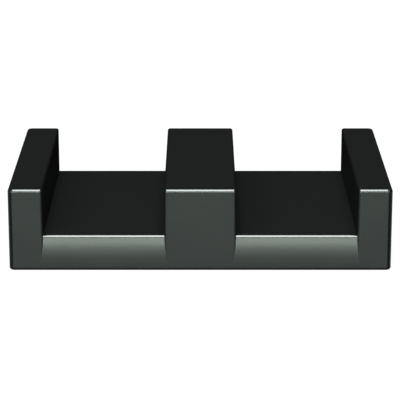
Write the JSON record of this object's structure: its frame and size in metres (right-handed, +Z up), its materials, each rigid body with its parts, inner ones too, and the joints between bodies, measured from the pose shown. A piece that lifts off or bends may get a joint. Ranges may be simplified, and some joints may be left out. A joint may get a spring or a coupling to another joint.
{
  "type": "ferrite e core",
  "caption": "Low planar ferrite E core half lying on its back, with a wide centre leg between winding windows and flat mating faces on its legs.",
  "frame": {"origin": "middle of the underside of the back, the face opposite the legs", "axes": "+X across the three legs, +Y along the winding windows away from the viewer, +Z up from the back towards the mating faces"},
  "size_m": [0.0432, 0.0278, 0.0095],
  "materials": {
    "ferrite": "semi-gloss dark charcoal sintered ferrite"
  },
  "bodies": {
    "root": {"e_core": "ferrite"}
  },
  "joints": []
}
